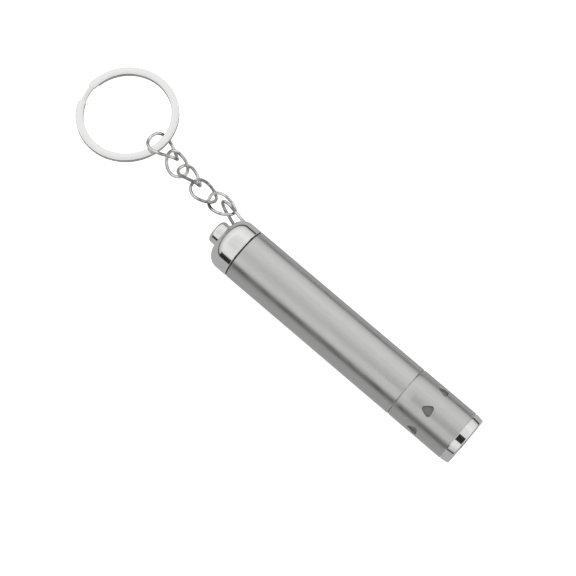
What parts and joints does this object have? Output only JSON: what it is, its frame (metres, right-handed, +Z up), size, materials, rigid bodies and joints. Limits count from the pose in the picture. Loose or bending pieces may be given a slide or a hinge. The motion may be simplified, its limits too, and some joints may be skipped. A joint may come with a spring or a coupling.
{
  "type": "keychain flashlight",
  "caption": "Slim brushed steel keychain flashlight with a chrome push-button tail cap, a windowed head, and a curb chain with a split ring.",
  "frame": {"origin": "on the flashlight's axis at the middle of the barrel", "axes": "+X along the flashlight's axis towards the lamp; +Z up with the flashlight lying on a table at z = -6.7 mm; +Y to the left of someone looking along +X, the side where the chain leaves the cap"},
  "size_m": [0.1269, 0.0287, 0.0134],
  "materials": {
    "brushed_steel_barrel": "fine grain along the barrel",
    "brushed_steel_head": "fine grain along the head",
    "polished_chrome": "polished",
    "chain_wire": "bright plated wire",
    "ring_wire": "satin plated flat wire",
    "black_rubber": "matte",
    "clear_lens": "clear",
    "reflector_mirror": "mirror",
    "led_epoxy": "milky clear",
    "white_plastic": "matte",
    "smoky_plastic": "translucent grey",
    "board_green": "solder mask",
    "ferrite": "matte",
    "black_plastic": "matte",
    "capacitor_tan": "matte",
    "brass_contact": "bright",
    "cell_can": "nickel plated",
    "cell_film": "shrink film",
    "grey_liner": "matte",
    "spring_steel": "drawn wire"
  },
  "bodies": {
    "flashlight": {"barrel_tube": "brushed_steel_barrel", "head_sleeve": "brushed_steel_head", "front_bezel": "polished_chrome", "lens": "clear_lens", "lens_o_ring": "black_rubber", "reflector": "reflector_mirror", "led_lamp": "led_epoxy", "led_leads": "spring_steel", "lamp_carrier": "white_plastic", "diffuser_tube": "smoky_plastic", "driver_board": "board_green", "driver_inductor": "ferrite", "driver_chip": "black_plastic", "driver_capacitors": "capacitor_tan", "positive_contact": "brass_contact", "battery_cell": "cell_can", "battery_wrap": "cell_film", "insulating_sleeve": "grey_liner"},
    "cap_seat": {"cap_gasket": "black_rubber"},
    "tail_assembly": {"tail_cap": "polished_chrome", "wire_bail": "chain_wire", "switch_housing": "black_plastic", "ground_ring": "brass_contact", "contact_rivet": "brass_contact", "switch_retainer": "spring_steel", "battery_spring": "spring_steel", "return_spring": "spring_steel"},
    "button": {"push_button": "polished_chrome", "switch_plunger": "white_plastic", "plunger_contact": "brass_contact"},
    "link_1": {"chain_link_1": "chain_wire"},
    "link_2": {"chain_link_2": "chain_wire"},
    "link_3": {"chain_link_3": "chain_wire"},
    "link_4": {"chain_link_4": "chain_wire"},
    "link_5": {"ring_link": "chain_wire"},
    "ring": {"split_ring": "ring_wire"}
  },
  "joints": [
    {"name": "cap_travel", "type": "slide", "parent": "flashlight", "child": "cap_seat", "axis": [-1, 0, 0], "range_m": [0, 0.004]},
    {"name": "cap_turn", "type": "hinge", "parent": "cap_seat", "child": "tail_assembly", "pos_m": [-0.02553, 0, 0], "axis": [-1, 0, 0], "range_deg": [0, 1440]},
    {"name": "button_press", "type": "slide", "parent": "tail_assembly", "child": "button", "axis": [1, 0, 0], "range_m": [0, 0.0012], "stiffness_N_per_m": 1500, "springref_m": -0.0005, "deforming": ["return_spring"]},
    {"name": "link_1_swing", "type": "hinge", "parent": "tail_assembly", "child": "link_1", "pos_m": [-0.03417, 0.00645, -0.00105], "axis": [-0.0155, 0.8099, -0.5864], "range_deg": [-28, 40]},
    {"name": "link_2_swing", "type": "hinge", "parent": "link_1", "child": "link_2", "pos_m": [-0.04123, 0.00595, -0.00155], "axis": [-0.092, 0.9093, 0.4057], "range_deg": [-50, 42]},
    {"name": "link_3_swing", "type": "hinge", "parent": "link_2", "child": "link_3", "pos_m": [-0.04526, 0.00639, -0.00182], "axis": [0.3262, 0.297, -0.8974], "range_deg": [-50, 50]},
    {"name": "link_4_swing", "type": "hinge", "parent": "link_3", "child": "link_4", "pos_m": [-0.05096, 0.00695, -0.00353], "axis": [0.2475, 0.9571, -0.1504], "range_deg": [-8, 60]},
    {"name": "ring_link_swing", "type": "hinge", "parent": "link_4", "child": "link_5", "pos_m": [-0.05662, 0.00851, -0.00391], "axis": [0.1291, 0.5634, 0.816], "range_deg": [-50, 32]},
    {"name": "split_ring_tip", "type": "hinge", "parent": "link_5", "child": "ring", "pos_m": [-0.05932, 0.00852, -0.00318], "axis": [0.9925, 0, 0.1219], "range_deg": [-2, 90]}
  ],
  "couplings": [
    {"joint": "cap_travel", "follows": "cap_turn", "m_per_rad": 0.00015915}
  ]
}
